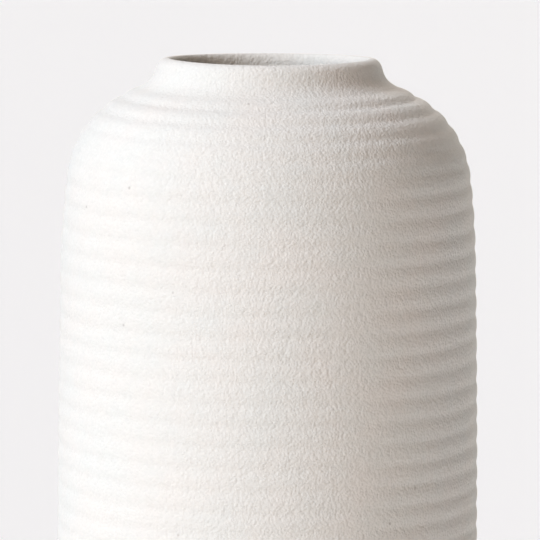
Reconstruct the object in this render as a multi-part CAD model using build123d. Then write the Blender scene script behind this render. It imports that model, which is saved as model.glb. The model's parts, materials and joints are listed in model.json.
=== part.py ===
from build123d import *
import os
from math import asin, cos, degrees, pi, radians, sin

# Ceramic bud vase, standing upright on the XY plane with its axis on Z. Millimetres and degrees.
# Every outline is drawn as radius across and height up, then turned once round the axis.

# whole vase
HEIGHT = 180.0
PAD_HEIGHT = 1.2            # the felt pads lift the foot ring by this much

# coats and wall
COAT = 0.5                  # thickness of the glaze, outside and inside
CLAY_WALL = 4.5             # fired clay between the two coats

# lip, throat and collar
CREST_RADIUS = 21.7         # circle along the top of the lip
LIP_OUTER_ROUND = 2.4
THROAT_RADIUS = 20.5        # glazed mouth, where a stopper or a flower frog sits
LINER_START = HEIGHT - 4.0  # the outer coat ends here in the throat, and the liner begins
COLLAR_TILT = 18.0          # the collar narrows upwards by this angle
COLLAR_RUN = 1.6            # straight stretch of the collar below the lip
COLLAR_ROOT_ROUND = 4.7     # hollow round between the collar and the shoulder

# wall from the collar's root down to the belly, as tangent arcs: radius, then angle turned
SHOULDER_TOP = (52.0, 8.1)
SHOULDER = (22.3, 49.4)
SHOULDER_FOOT = (175.0, 5.7)
WALL = (2640.0, 1.3)
WALL_ARCS = (SHOULDER_TOP, SHOULDER, SHOULDER_FOOT, WALL)
SHOULDER_TILT = sum(turn for radius, turn in WALL_ARCS)

# base and foot
BASE_ROUND = 7.5            # round between the wall and the foot
GLAZE_LINE = 5.0            # the outer coat stops at this height and leaves the clay bare
FOOT_INNER_RADIUS = 29.0
FOOT_RECESS = 1.5           # depth of the hollow inside the foot ring, and the round of its edge
FLOOR_THICKNESS = 5.5       # clay between the recess and the inside
FLOOR_ROUND = 9.0           # round between the floor and the wall, inside

# throwing ribs, placed by their distance along the outline
RIB_PITCH = 4.62
RIB_HEIGHT = 0.25           # from valley to crest
TOP_RIB_FACTOR = 1.5        # the ribs on the shoulder are deeper by this factor
TOP_RIBS_EASE = (22.0, 32.0)    # from the lip's crest: they ease to the height above between these two
FIRST_RIB = 11.4            # from the lip's crest to a crest of the ribs
RIBS_RISE = (7.0, 10.0)     # from the lip's crest: they rise from nothing between these two
RIBS_FADE = (8.0, 16.0)     # from the outline's lower end: they fade out between these two
POINTS_PER_RIB = 6

# felt pads under the foot ring
PAD_RADIUS = 3.5
PAD_RING_RADIUS = 33.2
PAD_TURNS = (90.0, 210.0, 330.0)


def wall_arcs(line, inset):
    """Arcs from the collar's root to the belly, on from the end of a line, moved inwards."""
    arcs = []
    for radius, turn in WALL_ARCS:
        line = JernArc(line @ 1, line % 1, radius - inset, -turn)
        arcs.append(line)
    return arcs


def base_arcs(line, inset, floor_round, floor):
    """Wall below the belly, then the round that ends level at the height of the floor."""
    wall_radius = WALL[0] - inset
    drop = (line @ 1).Y - floor
    turn = degrees(asin((drop - floor_round) / (wall_radius - floor_round)))
    lower_wall = JernArc(line @ 1, line % 1, wall_radius, -turn)
    return [lower_wall, JernArc(lower_wall @ 1, lower_wall % 1, floor_round, turn - 90)]


def lip_outer_arc(depth):
    """Outer half of the lip, from its crest to the collar, at a depth under the glaze."""
    return JernArc((CREST_RADIUS, HEIGHT - depth), (1, 0), LIP_OUTER_ROUND - depth, COLLAR_TILT - 90)


def lip_inner_arc(depth):
    """Inner half of the lip, from its crest to the throat, at a depth under the glaze."""
    inner_round = CREST_RADIUS - THROAT_RADIUS - depth
    return JernArc((CREST_RADIUS, HEIGHT - depth), (-1, 0), inner_round, 90)


def smooth_outline():
    """Edges of the glazed outside from the lip's crest to the foot, before the ribs."""
    lip = lip_outer_arc(0)
    collar = Line(lip @ 1, lip @ 1 + (lip % 1) * COLLAR_RUN)
    root = JernArc(collar @ 1, collar % 1, COLLAR_ROOT_ROUND, SHOULDER_TILT - COLLAR_TILT)
    upper = wall_arcs(root, 0)
    return [lip, collar, root] + upper + base_arcs(upper[-1], 0, BASE_ROUND, PAD_HEIGHT - COAT)


def outward(along):
    """Direction out of the vase, square to a direction that runs down its outline."""
    return Vector(-along.Y, along.X)


def fade(value, start, stop):
    """0 up to start, 1 from stop on, and a straight rise between."""
    return min(1.0, max(0.0, (value - start) / (stop - start)))


def rib(distance, total):
    """How far the ribs stand out from the smooth outline, at a distance along it."""
    factor = TOP_RIB_FACTOR + (1 - TOP_RIB_FACTOR) * fade(distance, *TOP_RIBS_EASE)
    strength = factor * fade(distance, *RIBS_RISE) * fade(total - distance, *RIBS_FADE)
    return RIB_HEIGHT / 2 * strength * cos(2 * pi * (distance - FIRST_RIB) / RIB_PITCH)


def ribbed_points(depth):
    """Points down the ribbed outside, from the lip's end to the foot, at a depth under the glaze."""
    edges = smooth_outline()
    outline = Wire(edges)
    start, total = edges[0].length, outline.length
    count = round((total - start) / RIB_PITCH * POINTS_PER_RIB)
    points = []
    for number in range(count + 1):
        distance = start + (total - start) * number / count
        place = outline.position_at(distance, position_mode=PositionMode.LENGTH)
        along = outline.tangent_at(distance, position_mode=PositionMode.LENGTH)
        points.append(place + outward(along) * (rib(distance, total) - depth))
    return points


def ribbed_line(points):
    """Smooth line through the points, square to the lip's end and level at the foot."""
    tilt = radians(COLLAR_TILT)
    return Spline(*points, tangents=[(sin(tilt), -cos(tilt)), (-1, 0)])


def glazed_line(depth):
    """The ribbed line as far down as the outer coat reaches."""
    last = sum(point.Y > GLAZE_LINE for point in ribbed_points(0)) - 1
    points = ribbed_points(depth)
    line = ribbed_line(points)
    return line.trim(0, line.param_at_point(points[last]))


def inside_line(depth, top):
    """Inside from a height in the throat down to the axis, at a depth over the clay's face."""
    root = smooth_outline()[2]
    start = root @ 1 - outward(root % 1) * (COAT + CLAY_WALL + depth)
    throat = THROAT_RADIUS + COAT - depth
    tilt = radians(SHOULDER_TILT)
    flare_radius = (start.X - throat) / (1 - cos(tilt))
    land = Line((throat, top), (throat, start.Y + flare_radius * sin(tilt)))
    flare = JernArc(land @ 1, (0, -1), flare_radius, SHOULDER_TILT)
    inset = COAT + CLAY_WALL + depth
    upper = wall_arcs(flare, inset)
    floor = PAD_HEIGHT + FOOT_RECESS + FLOOR_THICKNESS + depth
    lower = base_arcs(upper[-1], inset, FLOOR_ROUND - depth, floor)
    return [land, flare] + upper + lower + [Line(lower[-1] @ 1, (0, floor))]


def turned(edges):
    """Solid made by turning a closed outline once round the axis."""
    return revolve(Plane.XZ * make_face(edges), Axis.Z, 360)


def stoneware_body():
    """Fired clay: foot ring, floor, wall, shoulder, collar and lip in one piece."""
    outside = ribbed_line(ribbed_points(COAT))
    lip_inside = lip_inner_arc(COAT)
    inside = inside_line(0, (lip_inside @ 1).Y)
    foot = Line(outside @ 1, (FOOT_INNER_RADIUS, PAD_HEIGHT))
    foot_edge = JernArc(foot @ 1, (0, 1), FOOT_RECESS, 90)
    recess = Line(foot_edge @ 1, (0, PAD_HEIGHT + FOOT_RECESS))
    axis_line = Line(recess @ 1, inside[-1] @ 1)
    return turned([outside, lip_outer_arc(COAT), lip_inside, *inside, foot, foot_edge, recess, axis_line])


def outer_glaze():
    """Matt white coat over the outside, the lip and the top of the throat."""
    surface, clay_face = glazed_line(0), glazed_line(COAT)
    lower_end = Line(surface @ 1, clay_face @ 1)
    lips = [lip_outer_arc(0), lip_inner_arc(0), lip_outer_arc(COAT), lip_inner_arc(COAT)]
    throat_surface = Line(lips[1] @ 1, (THROAT_RADIUS, LINER_START))
    throat_clay = Line(lips[3] @ 1, (THROAT_RADIUS + COAT, LINER_START))
    upper_end = Line(throat_surface @ 1, throat_clay @ 1)
    return turned([surface, lower_end, clay_face, *lips, throat_surface, upper_end, throat_clay])


def liner_glaze():
    """Watertight coat over the inside, from the throat to the middle of the floor."""
    clay_face = inside_line(0, LINER_START)
    surface = inside_line(COAT, LINER_START)
    upper_end = Line(clay_face[0] @ 0, surface[0] @ 0)
    middle = Line(clay_face[-1] @ 1, surface[-1] @ 1)
    return turned([*clay_face, *surface, upper_end, middle])


def foot_pad(turn):
    """Self-adhesive felt disc under the foot ring."""
    disc = Cylinder(PAD_RADIUS, PAD_HEIGHT, align=(Align.CENTER, Align.CENTER, Align.MIN))
    return Rot(0, 0, turn) * Pos(PAD_RING_RADIUS, 0, 0) * disc


pieces = {
    "stoneware_body": stoneware_body(),
    "outer_glaze": outer_glaze(),
    "liner_glaze": liner_glaze(),
}
for number, turn in enumerate(PAD_TURNS, start=1):
    pieces[f"foot_pad_{number}"] = foot_pad(turn)

os.makedirs("parts", exist_ok=True)
for name, piece in pieces.items():
    export_step(piece, f"parts/{name}.step")
    print(name, "volume", round(piece.volume), "mm3")
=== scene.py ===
import json
import random
from math import asin, ceil, cos, pi, radians, sin

import bpy
from bpy.props import FloatProperty, FloatVectorProperty, IntProperty, PointerProperty
from mathutils import Matrix, Vector


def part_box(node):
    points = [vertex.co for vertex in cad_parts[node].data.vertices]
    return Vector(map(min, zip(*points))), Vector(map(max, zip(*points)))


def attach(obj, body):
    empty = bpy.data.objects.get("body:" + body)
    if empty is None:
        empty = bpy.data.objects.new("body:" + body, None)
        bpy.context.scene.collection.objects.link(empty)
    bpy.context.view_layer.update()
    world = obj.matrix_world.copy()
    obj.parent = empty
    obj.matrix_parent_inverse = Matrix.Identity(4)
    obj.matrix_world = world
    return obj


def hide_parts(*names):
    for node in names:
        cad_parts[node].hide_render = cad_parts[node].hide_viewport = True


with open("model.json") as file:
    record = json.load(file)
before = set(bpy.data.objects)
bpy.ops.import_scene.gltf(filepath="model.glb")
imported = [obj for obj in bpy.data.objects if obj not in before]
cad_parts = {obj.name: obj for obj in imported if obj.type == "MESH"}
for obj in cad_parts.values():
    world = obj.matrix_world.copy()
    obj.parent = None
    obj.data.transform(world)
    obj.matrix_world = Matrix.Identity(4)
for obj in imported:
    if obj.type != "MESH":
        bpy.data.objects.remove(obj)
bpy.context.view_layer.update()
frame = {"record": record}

bl_info = {
    "name": "Ceramic bud vase",
    "version": (1, 0, 0),
    "blender": (4, 5, 0),
    "location": "View3D > Sidebar > Vase",
    "description": "Throws, glazes and lights a ribbed ceramic bud vase",
    "category": "Object",
}

MM = 0.001
VASE_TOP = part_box("outer_glaze")[1].z
PAD_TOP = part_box("foot_pad_1")[1].z
THROAT_RADIUS = frame["record"]["mounts"][1]["dims"]["r_mm"] * MM
LINER_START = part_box("liner_glaze")[1].z
FLOOR_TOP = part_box("liner_glaze")[0].z
GLAZE_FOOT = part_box("outer_glaze")[0].z


def linear(code):
    """Linear RGBA colour of an sRGB hex code such as "F2EFE9"."""
    parts = [int(code[i:i + 2], 16) / 255 for i in (0, 2, 4)]
    return [c / 12.92 if c <= 0.04045 else ((c + 0.055) / 1.055) ** 2.4 for c in parts] + [1.0]


# ---------------------------------------------------------------- sizes and colours

class VaseShape(bpy.types.PropertyGroup):
    """Sizes of the clay and of its two coats of glaze."""

    coat: FloatProperty(
        name="Coat", description="Thickness of the glaze", default=0.5 * MM, unit="LENGTH")
    clay_wall: FloatProperty(
        name="Clay wall", description="Fired clay between the coats", default=4.5 * MM, unit="LENGTH")
    crest_radius: FloatProperty(
        name="Lip crest", description="Radius of the top of the lip", default=21.7 * MM, unit="LENGTH")
    lip_round: FloatProperty(
        name="Lip round", description="Outer round of the lip", default=2.4 * MM, unit="LENGTH")
    lip_drop: FloatProperty(
        name="Lip drop", description="How far down the inner half of the lip rounds off into the throat",
        default=2.0 * MM, unit="LENGTH")
    collar_tilt: FloatProperty(
        name="Collar tilt", description="The collar narrows upwards by this angle",
        default=radians(18.0), subtype="ANGLE", unit="ROTATION")
    collar_run: FloatProperty(
        name="Collar run", description="Straight stretch below the lip", default=1.6 * MM, unit="LENGTH")
    collar_root: FloatProperty(
        name="Collar root", description="Hollow round above the shoulder", default=4.7 * MM, unit="LENGTH")
    base_round: FloatProperty(
        name="Base round", description="Round between wall and foot", default=7.5 * MM, unit="LENGTH")
    foot_inner: FloatProperty(
        name="Foot ring", description="Inner radius of the foot ring", default=29.0 * MM, unit="LENGTH")
    recess: FloatProperty(
        name="Recess", description="Hollow inside the foot ring", default=1.5 * MM, unit="LENGTH")
    floor_round: FloatProperty(
        name="Floor round", description="Inside round above the floor", default=9.0 * MM, unit="LENGTH")
    columns: IntProperty(
        name="Columns", description="Steps round the axis", default=256, min=32)


class VaseRibs(bpy.types.PropertyGroup):
    """The rings that the thrower's fingers leave."""

    pitch: FloatProperty(
        name="Pitch", description="Mean spacing of the rings", default=4.62 * MM, unit="LENGTH")
    height: FloatProperty(
        name="Height", description="Mean height from valley to crest", default=0.245 * MM, unit="LENGTH")
    top_factor: FloatProperty(
        name="Top factor", description="The rings on the shoulder are deeper by this factor", default=1.5)
    first: FloatProperty(
        name="First ring", description="From the lip's crest to the first ring, along the wall",
        default=11.4 * MM, unit="LENGTH")
    spread: FloatProperty(
        name="Spread", description="Share by which spacing and height vary", default=0.06, min=0, max=0.5)
    seed: IntProperty(name="Seed", description="Picks another throw", default=34730)
    row: FloatProperty(
        name="Row", description="Spacing of the mesh rows over the ribs", default=0.68 * MM, unit="LENGTH")


class VaseThrow(bpy.types.PropertyGroup):
    """How uneven the hand left the vase."""

    rim_dip: FloatProperty(
        name="Rim dip", description="The rim is lower at the back by this much", default=1.48 * MM,
        unit="LENGTH")
    waver: FloatProperty(
        name="Waver", description="How far the rings wander up and down at most", default=0.6 * MM,
        unit="LENGTH")
    seed: IntProperty(name="Seed", description="Picks another hand", default=7)


class VaseColours(bpy.types.PropertyGroup):
    """Colours of the finishes."""

    glaze: FloatVectorProperty(
        name="Glaze", description="Matt white glaze", size=4, subtype="COLOR", default=linear("F2EBE2"))
    glaze_cool: FloatVectorProperty(
        name="Glaze, cool", description="Its cooler patches", size=4, subtype="COLOR",
        default=linear("EFEBE3"))
    liner: FloatVectorProperty(
        name="Liner", description="Satin glaze inside", size=4, subtype="COLOR", default=linear("EDE8E0"))
    clay: FloatVectorProperty(
        name="Clay", description="Bare fired stoneware", size=4, subtype="COLOR", default=linear("D9CBB4"))
    felt: FloatVectorProperty(
        name="Felt", description="Pads under the foot", size=4, subtype="COLOR", default=linear("D8D3C9"))
    floor: FloatVectorProperty(
        name="Floor", description="Studio floor", size=4, subtype="COLOR", default=linear("E7E7E7"))


# ---------------------------------------------------------------- outlines

# from the collar's root to the belly: radius in millimetres, then the angle turned
WALL_ARCS = ((52.0, 8.1), (22.3, 49.4), (175.0, 5.7), (2640.0, 1.3))
SHOULDER_TILT = radians(sum(turn for radius, turn in WALL_ARCS))
ROUND_STEPS = 12            # the least steps in a base round

# spacing of the mesh rows
LIP_ROW = 0.3 * MM
HIDDEN_LIP_ROW = 0.4 * MM
LIP_INSIDE_ROW = 0.25 * MM
CLAY_ROW = 1.2 * MM
LINER_ROW = 1.0 * MM
HIDDEN_COAT_ROW = 5.0 * MM
HIDDEN_LINER_ROW = 3.0 * MM
HIDDEN_CLAY_ROW = 2.5 * MM
FOOT_EDGE_STEPS = 8

# the rings
TOP_RINGS_EASE = (22 * MM, 32 * MM)     # along the wall from the lip's crest: the deep ones ease off
RINGS_FADE = 14 * MM                    # they fade out over this last stretch, down to the foot
CREST_BREADTH = 0.22                    # 0 for even waves, more for broad crests and narrow valleys


class Outline:
    """A line walked down the wall of the vase, as (radius, height, heading, distance) at each point.

    The heading is the angle out from straight down, so a heading of 90 degrees runs outwards."""

    def __init__(self, radius, height, heading, distance=0.0):
        self.points = [(radius, height, heading, distance)]

    def run(self, length, spacing):
        """A straight stretch."""
        radius, height, heading, distance = self.points[-1]
        count = max(1, ceil(length / spacing))
        for number in range(1, count + 1):
            gone = length * number / count
            self.points.append((radius + gone * sin(heading), height - gone * cos(heading),
                                heading, distance + gone))

    def arc(self, bend, turn, spacing):
        """A round of radius bend that turns outwards by turn, or inwards where turn is negative."""
        radius, height, heading, distance = self.points[-1]
        count = max(1, ceil(bend * abs(turn) / spacing))
        side = bend if turn > 0 else -bend
        for number in range(1, count + 1):
            now = heading + turn * number / count
            self.points.append((radius + side * (cos(heading) - cos(now)),
                                height - side * (sin(now) - sin(heading)),
                                now, distance + bend * abs(turn) * number / count))

    def wall(self, inset, spacing):
        """The arcs from the collar's root to the belly, moved inwards by inset."""
        for bend, turn in WALL_ARCS:
            self.arc(bend * MM - inset, -radians(turn), spacing)

    def base(self, inset, base_round, floor, spacing):
        """The wall below the belly, and the round that ends level at the height of floor."""
        bend = WALL_ARCS[-1][0] * MM - inset
        turn = asin((self.points[-1][1] - floor - base_round) / (bend - base_round))
        self.arc(bend, -turn, spacing)
        self.arc(base_round, turn - pi / 2, min(spacing, base_round / ROUND_STEPS))


def outside(shape, spacing, lip_spacing):
    """The glazed outside from the lip's crest to the foot, before the ribs."""
    line = Outline(shape.crest_radius, VASE_TOP, pi / 2)
    line.arc(shape.lip_round, shape.collar_tilt - pi / 2, lip_spacing)
    line.run(shape.collar_run, lip_spacing * 2)
    line.arc(shape.collar_root, SHOULDER_TILT - shape.collar_tilt, spacing / 2)
    line.wall(0.0, spacing)
    line.base(0.0, shape.base_round, PAD_TOP - shape.coat, spacing)
    return line.points


def inside(shape, depth, top, spacing):
    """The inside from a height in the throat to the axis, at a depth over the clay's face."""
    root = Outline(shape.crest_radius, VASE_TOP, pi / 2)
    root.arc(shape.lip_round, shape.collar_tilt - pi / 2, spacing)
    root.run(shape.collar_run, spacing)
    root.arc(shape.collar_root, SHOULDER_TILT - shape.collar_tilt, spacing)
    inset = shape.coat + shape.clay_wall + depth
    radius, height = root.points[-1][:2]
    radius -= inset * cos(SHOULDER_TILT)
    height -= inset * sin(SHOULDER_TILT)
    throat = THROAT_RADIUS + shape.coat - depth
    flare = (radius - throat) / (1 - cos(SHOULDER_TILT))
    line = Outline(throat, top, 0.0)
    line.run(top - height - flare * sin(SHOULDER_TILT), spacing)
    line.arc(flare, SHOULDER_TILT, spacing / 2)
    line.wall(inset, spacing)
    floor = FLOOR_TOP + depth
    line.base(inset, shape.floor_round - depth, floor, spacing)
    return line.points + [(0.0, floor, -pi / 2, 0.0)]


def share_of(value, start, stop):
    """0 up to start, 1 from stop on, and a straight rise between."""
    return min(1.0, max(0.0, (value - start) / (stop - start)))


def rings(ribs, length):
    """Places and heights of the throwing rings along the outline, each a little unlike the last."""
    chance = random.Random(ribs.seed)
    found = [(0.0, 0.0), (ribs.first - ribs.pitch, 0.0)]
    place = ribs.first
    while place < length:
        eased = share_of(place, *TOP_RINGS_EASE)
        factor = ribs.top_factor + (1 - ribs.top_factor) * eased
        found.append((place, ribs.height * factor * (1 + chance.uniform(-2, 2) * ribs.spread)))
        place += ribs.pitch * (1 + chance.uniform(-1, 1) * ribs.spread)
    return found + [(place, 0.0)]


def rib(found, distance, length):
    """How far the rings stand out at a distance along the outline: broad crests, narrower valleys."""
    for (start, low), (end, high) in zip(found, found[1:]):
        if start <= distance < end:
            share = (distance - start) / (end - start)
            height = low + (high - low) * share
            fade = min(1.0, (length - distance) / RINGS_FADE) ** 2
            wave = cos(2 * pi * share) - CREST_BREADTH * cos(4 * pi * share)
            return height / 2 * wave * fade
    return 0.0


def ribbed(points, ribs, depth):
    """The outline with its ribs, moved inwards by depth, as (radius, height)."""
    length = points[-1][3]
    found = rings(ribs, length)
    made = []
    for radius, height, heading, distance in points:
        out = rib(found, distance, length) - depth
        made.append((radius + out * cos(heading), height + out * sin(heading)))
    return made


def lip_inside(shape, depth, spacing):
    """The inner half of the lip, an oval from just past its crest to the throat, as (radius, height)."""
    across = shape.crest_radius - THROAT_RADIUS - depth
    down = shape.lip_drop - depth
    count = ceil(down * pi / 2 / spacing)
    turns = [pi / 2 * number / count for number in range(1, count + 1)]
    return [(shape.crest_radius - across * sin(turn), VASE_TOP - depth - down * (1 - cos(turn)))
            for turn in turns]


# ---------------------------------------------------------------- making a piece

# the cage that every shell is thrown in
CAGE_SIZE = (100 * MM, 100 * MM, 200 * MM)
CAGE_POINTS = (9, 9, 41)
CAGE_BELOW = 10 * MM                            # how far it reaches under the table
FOOT_TOP, SHOULDER_TOP = 15 * MM, 164 * MM      # the rings waver between these heights
DIP_BOTTOM, DIP_TOP = 166 * MM, 178 * MM        # the rim's dip grows between these heights
DIP_FRONT = 0.35                                # and from this far before the axis, in rim radii

# the felt pads
PAD_SIDES = 48
PAD_EDGE = 0.2 * MM                             # how far the cut edge is rubbed round
PAD_EDGE_STEPS = 3

MERGE_DISTANCE = 0.002 * MM
CREASE = radians(40)                            # edges sharper than this stay sharp


def deselect():
    """Object mode with nothing selected."""
    if bpy.context.mode != "OBJECT":
        bpy.ops.object.mode_set(mode="OBJECT")
    bpy.ops.object.select_all(action="DESELECT")


def draw_and_spin(name, outline, columns, closed):
    """Draws an outline edge by edge in the XZ plane and spins it round the axis into a shell."""
    deselect()
    first = Vector((outline[0][0], 0, outline[0][1]))
    bpy.ops.mesh.primitive_plane_add(size=MM, location=first)
    piece = bpy.context.object
    piece.name = piece.data.name = name
    bpy.ops.object.transform_apply(location=True, rotation=False, scale=False)
    bpy.ops.object.mode_set(mode="EDIT")
    bpy.ops.mesh.select_mode(type="VERT")
    bpy.ops.mesh.select_all(action="SELECT")
    bpy.ops.mesh.merge(type="CENTER")
    last = first
    for radius, height in outline[1:]:
        place = Vector((radius, 0, height))
        bpy.ops.mesh.extrude_vertices_move(TRANSFORM_OT_translate={"value": place - last})
        last = place
    if closed:
        bpy.ops.mesh.extrude_vertices_move(TRANSFORM_OT_translate={"value": first - last})
    bpy.ops.mesh.select_all(action="SELECT")
    bpy.ops.mesh.spin(steps=columns, angle=2 * pi, center=(0, 0, 0), axis=(0, 0, 1))
    bpy.ops.mesh.select_all(action="SELECT")
    bpy.ops.mesh.remove_doubles(threshold=MERGE_DISTANCE)
    bpy.ops.mesh.normals_make_consistent(inside=False)
    bpy.ops.object.mode_set(mode="OBJECT")
    return piece


def hand_thrown(piece, throw, rim_radius):
    """Makes the piece as uneven as a hand leaves it: the rings waver and the rim sinks at the back.

    Every shell goes through the same cage, so the coats stay on the clay."""
    deselect()
    bpy.ops.object.add(type="LATTICE", location=(0, 0, CAGE_SIZE[2] / 2 - CAGE_BELOW))
    cage = bpy.context.object
    cage.scale = CAGE_SIZE
    cage.data.points_u, cage.data.points_v, cage.data.points_w = CAGE_POINTS
    chance = random.Random(throw.seed)
    for point in cage.data.points:
        height = cage.location.z + point.co.z * cage.scale.z
        behind = point.co.y * cage.scale.y / rim_radius
        waver = chance.uniform(-1, 1) * throw.waver if FOOT_TOP < height < SHOULDER_TOP else 0.0
        near_rim = share_of(height, DIP_BOTTOM, DIP_TOP)
        dip = throw.rim_dip * near_rim * max(0.0, (behind + DIP_FRONT) / (1 + DIP_FRONT))
        point.co_deform.z = point.co.z + (waver - dip) / cage.scale.z
    deselect()
    piece.select_set(True)
    bpy.context.view_layer.objects.active = piece
    bpy.ops.object.modifier_add(type="LATTICE")
    piece.modifiers[-1].object = cage
    bpy.ops.object.modifier_apply(modifier=piece.modifiers[-1].name)
    deselect()
    cage.select_set(True)
    bpy.ops.object.delete()


def smooth(piece):
    """Smooth shading, but for sharp edges."""
    deselect()
    piece.select_set(True)
    bpy.context.view_layer.objects.active = piece
    bpy.ops.object.shade_smooth_by_angle(angle=CREASE)


def add_node(tree, kind, settings=None, inputs=None):
    """Adds a shader node. Inputs are values, or sockets of other nodes to link from."""
    made = tree.nodes.new(kind)
    for name, value in (settings or {}).items():
        setattr(made, name, value)
    for socket, value in (inputs or {}).items():
        if isinstance(value, bpy.types.NodeSocket):
            tree.links.new(value, made.inputs[socket])
        else:
            made.inputs[socket].default_value = value
    return made


def start_material(name):
    """A material without nodes, its node tree, and a socket with the place on a piece in millimetres."""
    material = bpy.data.materials.new(name)
    material.use_nodes = True
    tree = material.node_tree
    tree.nodes.clear()
    place = add_node(tree, "ShaderNodeTexCoord").outputs["Object"]
    in_mm = add_node(tree, "ShaderNodeVectorMath", {"operation": "SCALE"}, {0: place, "Scale": 1 / MM})
    return material, tree, in_mm.outputs[0]


def finish_piece(piece, material, node):
    """Gives the piece its finish and its place in the frame."""
    piece.data.materials.clear()
    piece.data.materials.append(material)
    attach(piece, "root")
    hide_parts(node)


# ---------------------------------------------------------------- materials

# second colours of the finishes
IRON = "8A7868"
LINER_RIPPLE = "E6E1D8"
GROG = "BFAA8C"
FELT_SHADE = "B4ADA0"


def matt_glaze(colours):
    """Matt dolomite glaze over grogged stoneware: nearly white, with a fine dry sandy skin,
    faint warm and cool clouds, a few iron specks and a few grains that stand up under it."""
    material, tree, in_mm = start_material("matt_dolomite_glaze")
    # the skin: sand grains about 0.6 mm across, on ground that rises and falls a little between them
    sand = add_node(tree, "ShaderNodeTexVoronoi", None, {"Vector": in_mm, "Scale": 1 / 0.58})
    ground = add_node(tree, "ShaderNodeTexNoise", None,
                      {"Vector": in_mm, "Scale": 1 / 1.3, "Detail": 2, "Roughness": 0.6}).outputs["Fac"]
    grain = add_node(tree, "ShaderNodeMath", {"operation": "MULTIPLY_ADD"},
                     {0: sand.outputs["Distance"], 1: -0.5, 2: ground}).outputs[0]
    clouds = add_node(tree, "ShaderNodeTexNoise", None,
                      {"Vector": in_mm, "Scale": 1 / 13, "Detail": 3, "Roughness": 0.6}).outputs["Fac"]
    cloud_share = add_node(tree, "ShaderNodeMapRange", None,
                           {"Value": clouds, "From Min": 0.35, "From Max": 0.65}).outputs[0]
    tint = add_node(tree, "ShaderNodeMix", {"data_type": "RGBA"},
                    {"Factor": cloud_share, "A": colours.glaze, "B": colours.glaze_cool}).outputs["Result"]
    # iron specks: six in ten of 9 mm cells hold a faint dot that is up to 0.9 mm across
    cells = add_node(tree, "ShaderNodeTexVoronoi", None, {"Vector": in_mm, "Scale": 1 / 9})
    dot = add_node(tree, "ShaderNodeMapRange", None,
                   {"Value": cells.outputs["Distance"], "From Min": 0.02, "From Max": 0.05,
                    "To Min": 1, "To Max": 0}).outputs[0]
    draw = add_node(tree, "ShaderNodeSeparateColor", None, {"Color": cells.outputs["Color"]}).outputs[0]
    kept = add_node(tree, "ShaderNodeMath", {"operation": "GREATER_THAN"}, {0: draw, 1: 0.4}).outputs[0]
    speck = add_node(tree, "ShaderNodeMath", {"operation": "MULTIPLY"}, {0: dot, 1: kept}).outputs[0]
    speck = add_node(tree, "ShaderNodeMath", {"operation": "MULTIPLY"}, {0: speck, 1: 0.35}).outputs[0]
    colour = add_node(tree, "ShaderNodeMix", {"data_type": "RGBA"},
                      {"Factor": speck, "A": tint, "B": linear(IRON)}).outputs["Result"]
    # each sand grain is up to 2 % lighter or darker than the glaze
    shade = add_node(tree, "ShaderNodeSeparateColor", None, {"Color": sand.outputs["Color"]}).outputs[0]
    shade = add_node(tree, "ShaderNodeMapRange", None,
                     {"Value": shade, "To Min": 0.98, "To Max": 1.02}).outputs[0]
    colour = add_node(tree, "ShaderNodeVectorMath", {"operation": "SCALE"},
                      {0: colour, "Scale": shade}).outputs[0]
    # grains that stand up: each 12 mm cell holds a bump 1.7 mm across and 0.03 mm high
    lumps = add_node(tree, "ShaderNodeTexVoronoi", None, {"Vector": in_mm, "Scale": 1 / 12})
    lump = add_node(tree, "ShaderNodeMapRange", {"interpolation_type": "SMOOTHSTEP"},
                    {"Value": lumps.outputs["Distance"], "From Min": 0.0, "From Max": 0.07,
                     "To Min": 0.03, "To Max": 0}).outputs[0]
    height = add_node(tree, "ShaderNodeMath", {"operation": "MULTIPLY_ADD"},
                      {0: grain, 1: 0.19, 2: lump}).outputs[0]
    bump = add_node(tree, "ShaderNodeBump", None,
                    {"Height": height, "Strength": 1.0, "Distance": MM}).outputs[0]
    rough = add_node(tree, "ShaderNodeMapRange", None,
                     {"Value": ground, "From Min": 0.3, "From Max": 0.7,
                      "To Min": 0.62, "To Max": 0.78}).outputs[0]
    shader = add_node(tree, "ShaderNodeBsdfPrincipled", None,
                      {"Base Color": colour, "Roughness": rough, "IOR": 1.5, "Normal": bump})
    add_node(tree, "ShaderNodeOutputMaterial", None, {"Surface": shader.outputs[0]})
    return material


def satin_glaze(colours):
    """Satin liner glaze: smoother and a little glossier than the outside, with a soft ripple."""
    material, tree, in_mm = start_material("satin_liner_glaze")
    ripple = add_node(tree, "ShaderNodeTexNoise", None,
                      {"Vector": in_mm, "Scale": 1 / 4, "Detail": 3}).outputs["Fac"]
    tint = add_node(tree, "ShaderNodeMix", {"data_type": "RGBA"},
                    {"Factor": ripple, "A": colours.liner, "B": linear(LINER_RIPPLE)}).outputs["Result"]
    rough = add_node(tree, "ShaderNodeMapRange", None,
                     {"Value": ripple, "To Min": 0.34, "To Max": 0.46}).outputs[0]
    bump = add_node(tree, "ShaderNodeBump", None,
                    {"Height": ripple, "Strength": 1.0, "Distance": 0.05 * MM}).outputs[0]
    shader = add_node(tree, "ShaderNodeBsdfPrincipled", None,
                      {"Base Color": tint, "Roughness": rough, "IOR": 1.5, "Normal": bump})
    add_node(tree, "ShaderNodeOutputMaterial", None, {"Surface": shader.outputs[0]})
    return material


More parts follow.
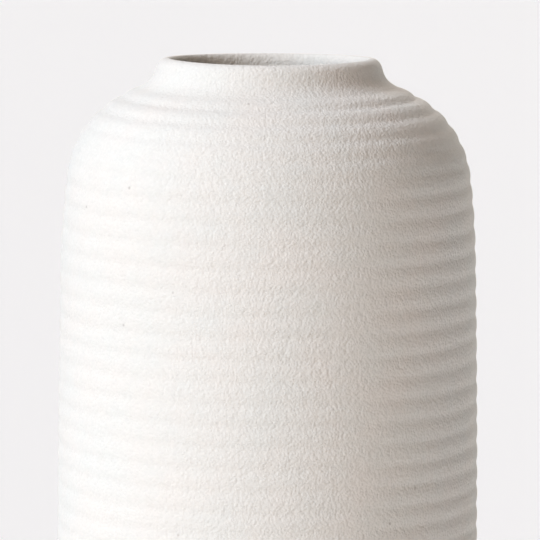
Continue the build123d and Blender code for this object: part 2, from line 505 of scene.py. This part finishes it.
def bare_stoneware(colours):
    """Bare stoneware: buff fired clay with fine grog, dry to the touch and wiped smooth at the foot."""
    material, tree, in_mm = start_material("bare_buff_stoneware")
    grog = add_node(tree, "ShaderNodeTexNoise", None,
                    {"Vector": in_mm, "Scale": 1 / 0.6, "Detail": 4, "Roughness": 0.65}).outputs["Fac"]
    shade = add_node(tree, "ShaderNodeMapRange", None,
                     {"Value": grog, "From Min": 0.35, "From Max": 0.7}).outputs[0]
    tint = add_node(tree, "ShaderNodeMix", {"data_type": "RGBA"},
                    {"Factor": shade, "A": colours.clay, "B": linear(GROG)}).outputs["Result"]
    bump = add_node(tree, "ShaderNodeBump", None,
                    {"Height": grog, "Strength": 1.0, "Distance": 0.08 * MM}).outputs[0]
    rough = add_node(tree, "ShaderNodeMapRange", None,
                     {"Value": grog, "To Min": 0.82, "To Max": 0.96}).outputs[0]
    shader = add_node(tree, "ShaderNodeBsdfPrincipled", None,
                      {"Base Color": tint, "Roughness": rough, "IOR": 1.5, "Normal": bump})
    add_node(tree, "ShaderNodeOutputMaterial", None, {"Surface": shader.outputs[0]})
    return material


def pressed_felt(colours):
    """Pressed wool felt: matted fibres with a soft pale fuzz."""
    material, tree, in_mm = start_material("pressed_wool_felt")
    fibre = add_node(tree, "ShaderNodeTexNoise", None,
                     {"Vector": in_mm, "Scale": 1 / 0.35, "Detail": 5, "Distortion": 2.5}).outputs["Fac"]
    tint = add_node(tree, "ShaderNodeMix", {"data_type": "RGBA"},
                    {"Factor": fibre, "A": colours.felt, "B": linear(FELT_SHADE)}).outputs["Result"]
    bump = add_node(tree, "ShaderNodeBump", None,
                    {"Height": fibre, "Strength": 1.0, "Distance": 0.15 * MM}).outputs[0]
    shader = add_node(tree, "ShaderNodeBsdfPrincipled", None,
                      {"Base Color": tint, "Roughness": 0.95, "Sheen Weight": 0.4,
                       "Sheen Roughness": 0.5, "Normal": bump})
    add_node(tree, "ShaderNodeOutputMaterial", None, {"Surface": shader.outputs[0]})
    return material


def studio_paint(colours):
    """Matt studio paint, pale and even. It only shows from the front, so that the floor doesn't
    hide the foot of the vase from below. Its faint glow is the light the whole room throws on it."""
    material = bpy.data.materials.new("matt_studio_paint")
    material.use_nodes = True
    tree = material.node_tree
    tree.nodes.clear()
    paint = add_node(tree, "ShaderNodeBsdfPrincipled", None,
                     {"Base Color": colours.floor, "Roughness": 0.9,
                      "Emission Color": linear(ROOM_GLOW), "Emission Strength": ROOM_GLOW_STRENGTH})
    nothing = add_node(tree, "ShaderNodeBsdfTransparent")
    behind = add_node(tree, "ShaderNodeNewGeometry").outputs["Backfacing"]
    shader = add_node(tree, "ShaderNodeMixShader", None,
                      {0: behind, 1: paint.outputs[0], 2: nothing.outputs[0]})
    add_node(tree, "ShaderNodeOutputMaterial", None, {"Surface": shader.outputs[0]})
    return material


# ---------------------------------------------------------------- studio

# soft lights: name, degrees round from the front to the right, degrees up, degrees wide, strength, colour
SOFT_LIGHTS = (
    ("window_key", -60, 30, 24, 2.376, "D9ECFF"),
    ("room_fill", -30, 45, 50, 1.164, "FFE9D7"),
    ("window_rear", -150, 60, 50, 0.985, "F3F5FF"),
    ("wall_bounce", 165, 0, 50, 1.521, "FFFEF1"),
)
LAMP_HEIGHT = 0.6
ROOM_GLOW, ROOM_GLOW_STRENGTH = "FFF2E4", 0.229

# the floor and the cove round it, in metres
FLOOR_RADIUS, FLOOR_ROW = 2.6, 0.4
COVE_BEND, COVE_BEND_ROW = 1.6, 0.1
WALL_HEIGHT, WALL_ROW = 3.0, 1.0
STUDIO_COLUMNS = 96

# the camera: a long lens that looks down a little
LENS, SENSOR = 431.3, 36
CAMERA_DISTANCE = 1.387
SIGHT = 50                  # how far it sees, in metres
LOOK_DOWN = radians(7.2)
CAMERA_ROLL = radians(0.22)
AIM_SIDE, AIM_BELOW_TOP = 0.34 * MM, 46.05 * MM


# ---------------------------------------------------------------- operators

class VASE_OT_outer_glaze(bpy.types.Operator):
    """Coat the outside, the lip and the top of the throat"""

    bl_idname = "vase.outer_glaze"
    bl_label = "Outer glaze"

    def execute(self, context):
        shape, ribs = context.scene.vase_shape, context.scene.vase_ribs
        fine = outside(shape, ribs.row, LIP_ROW)
        surface = [p for p in ribbed(fine, ribs, 0.0) if p[1] >= GLAZE_FOOT]
        coarse = outside(shape, HIDDEN_COAT_ROW, HIDDEN_LIP_ROW)
        hidden = [p for p in ribbed(coarse, ribs, shape.coat) if p[1] >= GLAZE_FOOT]
        throat = [(THROAT_RADIUS, LINER_START), (THROAT_RADIUS + shape.coat, LINER_START)]
        outline = list(reversed(surface)) + lip_inside(shape, 0.0, LIP_INSIDE_ROW) + throat
        outline += list(reversed(lip_inside(shape, shape.coat, LIP_INSIDE_ROW))) + hidden
        piece = draw_and_spin("outer_glaze_coat", outline, shape.columns, closed=True)
        hand_thrown(piece, context.scene.vase_throw, shape.crest_radius)
        smooth(piece)
        finish_piece(piece, matt_glaze(context.scene.vase_colours), "outer_glaze")
        return {"FINISHED"}


class VASE_OT_stoneware(bpy.types.Operator):
    """Throw the clay body"""

    bl_idname = "vase.stoneware"
    bl_label = "Stoneware body"

    def execute(self, context):
        shape, ribs = context.scene.vase_shape, context.scene.vase_ribs
        wall = ribbed(outside(shape, CLAY_ROW, LIP_ROW), ribs, shape.coat)
        lip = lip_inside(shape, shape.coat, LIP_INSIDE_ROW)
        cavity = inside(shape, 0.0, lip[-1][1], HIDDEN_CLAY_ROW)
        recess_height = PAD_TOP + shape.recess
        turns = [pi / 2 * number / FOOT_EDGE_STEPS for number in range(FOOT_EDGE_STEPS + 1)]
        foot_edge = [(shape.foot_inner - shape.recess * (1 - cos(turn)),
                      PAD_TOP + shape.recess * sin(turn)) for turn in turns]
        outline = [(0.0, recess_height)] + list(reversed(foot_edge)) + list(reversed(wall)) + lip
        outline += [p[:2] for p in cavity[1:]]
        piece = draw_and_spin("stoneware_clay", outline, shape.columns, closed=False)
        hand_thrown(piece, context.scene.vase_throw, shape.crest_radius)
        smooth(piece)
        finish_piece(piece, bare_stoneware(context.scene.vase_colours), "stoneware_body")
        return {"FINISHED"}


class VASE_OT_liner(bpy.types.Operator):
    """Line the inside"""

    bl_idname = "vase.liner"
    bl_label = "Liner glaze"

    def execute(self, context):
        shape = context.scene.vase_shape
        clay_side = [p[:2] for p in inside(shape, 0.0, LINER_START, HIDDEN_LINER_ROW)]
        surface = [p[:2] for p in inside(shape, shape.coat, LINER_START, LINER_ROW)]
        outline = list(reversed(clay_side)) + surface
        piece = draw_and_spin("liner_glaze_coat", outline, shape.columns, closed=False)
        hand_thrown(piece, context.scene.vase_throw, shape.crest_radius)
        smooth(piece)
        finish_piece(piece, satin_glaze(context.scene.vase_colours), "liner_glaze")
        return {"FINISHED"}


class VASE_OT_felt_pads(bpy.types.Operator):
    """Stick the felt pads under the foot"""

    bl_idname = "vase.felt_pads"
    bl_label = "Felt pads"

    def execute(self, context):
        felt = pressed_felt(context.scene.vase_colours)
        for number in (1, 2, 3):
            low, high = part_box(f"foot_pad_{number}")
            deselect()
            bpy.ops.mesh.primitive_cylinder_add(
                vertices=PAD_SIDES, radius=(high.x - low.x) / 2, depth=high.z - low.z,
                location=(low + high) / 2)
            piece = context.object
            piece.name = piece.data.name = f"felt_pad_{number}"
            bpy.ops.object.transform_apply(location=True, rotation=False, scale=False)
            bpy.ops.object.modifier_add(type="BEVEL")
            piece.modifiers[-1].width = PAD_EDGE
            piece.modifiers[-1].segments = PAD_EDGE_STEPS
            bpy.ops.object.modifier_apply(modifier=piece.modifiers[-1].name)
            smooth(piece)
            finish_piece(piece, felt, f"foot_pad_{number}")
        return {"FINISHED"}


class VASE_OT_studio(bpy.types.Operator):
    """Set up the floor, the lights and the camera"""

    bl_idname = "vase.studio"
    bl_label = "Studio"

    def execute(self, context):
        colours = context.scene.vase_colours
        paint = studio_paint(colours)
        table = Outline(0.0, 0.0, pi / 2)
        table.run(FLOOR_RADIUS, FLOOR_ROW)
        floor = draw_and_spin("studio_floor", [p[:2] for p in table.points], STUDIO_COLUMNS, closed=False)
        cove = Outline(FLOOR_RADIUS, 0.0, pi / 2)
        cove.arc(COVE_BEND, pi / 2, COVE_BEND_ROW)
        cove.run(WALL_HEIGHT, WALL_ROW)
        wall = draw_and_spin("studio_cove", [p[:2] for p in cove.points], STUDIO_COLUMNS, closed=False)
        for part in (floor, wall):
            smooth(part)
            part.data.materials.append(paint)
        wall.visible_diffuse = False
        wall.visible_glossy = False
        wall.visible_shadow = False

        world = bpy.data.worlds.new("studio_air")
        world.use_nodes = True
        world.node_tree.nodes["Background"].inputs["Color"].default_value = (0, 0, 0, 1)
        context.scene.world = world
        for name, side, rise, width, power, colour in SOFT_LIGHTS:
            deselect()
            bpy.ops.object.light_add(type="SUN", location=(0, 0, LAMP_HEIGHT))
            lamp = context.object
            lamp.name = lamp.data.name = name
            lamp.data.energy = power
            lamp.data.angle = radians(width)
            lamp.data.color = linear(colour)[:3]
            side, rise = radians(side), radians(rise)
            toward = Vector((sin(side) * cos(rise), -cos(side) * cos(rise), sin(rise)))
            lamp.rotation_euler = toward.to_track_quat("Z", "Y").to_euler()

        deselect()
        bpy.ops.object.camera_add()
        camera = context.object
        camera.name = "view"
        camera.data.sensor_width = SENSOR
        camera.data.lens = LENS
        camera.data.clip_end = SIGHT
        aim = Vector((AIM_SIDE, 0, VASE_TOP - AIM_BELOW_TOP))
        back = Vector((0, -cos(LOOK_DOWN), sin(LOOK_DOWN)))
        place = Matrix.Translation(aim + back * CAMERA_DISTANCE)
        upright = Matrix.Rotation(pi / 2 - LOOK_DOWN, 4, "X")
        camera.matrix_world = place @ upright @ Matrix.Rotation(CAMERA_ROLL, 4, "Z")
        context.scene.camera = camera
        context.scene.view_settings.view_transform = "Standard"
        return {"FINISHED"}


class VASE_PT_panel(bpy.types.Panel):
    """The pieces of the vase, in the order they are made"""

    bl_idname = "VASE_PT_panel"
    bl_label = "Ceramic bud vase"
    bl_space_type = "VIEW_3D"
    bl_region_type = "UI"
    bl_category = "Vase"

    def draw(self, context):
        for step in STEPS:
            self.layout.operator(step.bl_idname)


STEPS = (VASE_OT_stoneware, VASE_OT_outer_glaze, VASE_OT_liner, VASE_OT_felt_pads, VASE_OT_studio)
GROUPS = {"vase_shape": VaseShape, "vase_ribs": VaseRibs, "vase_throw": VaseThrow,
          "vase_colours": VaseColours}


def register():
    for group in (*GROUPS.values(), *STEPS, VASE_PT_panel):
        bpy.utils.register_class(group)
    for name, group in GROUPS.items():
        setattr(bpy.types.Scene, name, PointerProperty(type=group))


def unregister():
    for name in GROUPS:
        delattr(bpy.types.Scene, name)
    for group in reversed((*GROUPS.values(), *STEPS, VASE_PT_panel)):
        bpy.utils.unregister_class(group)


def main():
    register()
    bpy.ops.vase.stoneware()
    bpy.ops.vase.outer_glaze()
    bpy.ops.vase.liner()
    bpy.ops.vase.felt_pads()
    bpy.ops.vase.studio()


if __name__ == "__main__":
    main()
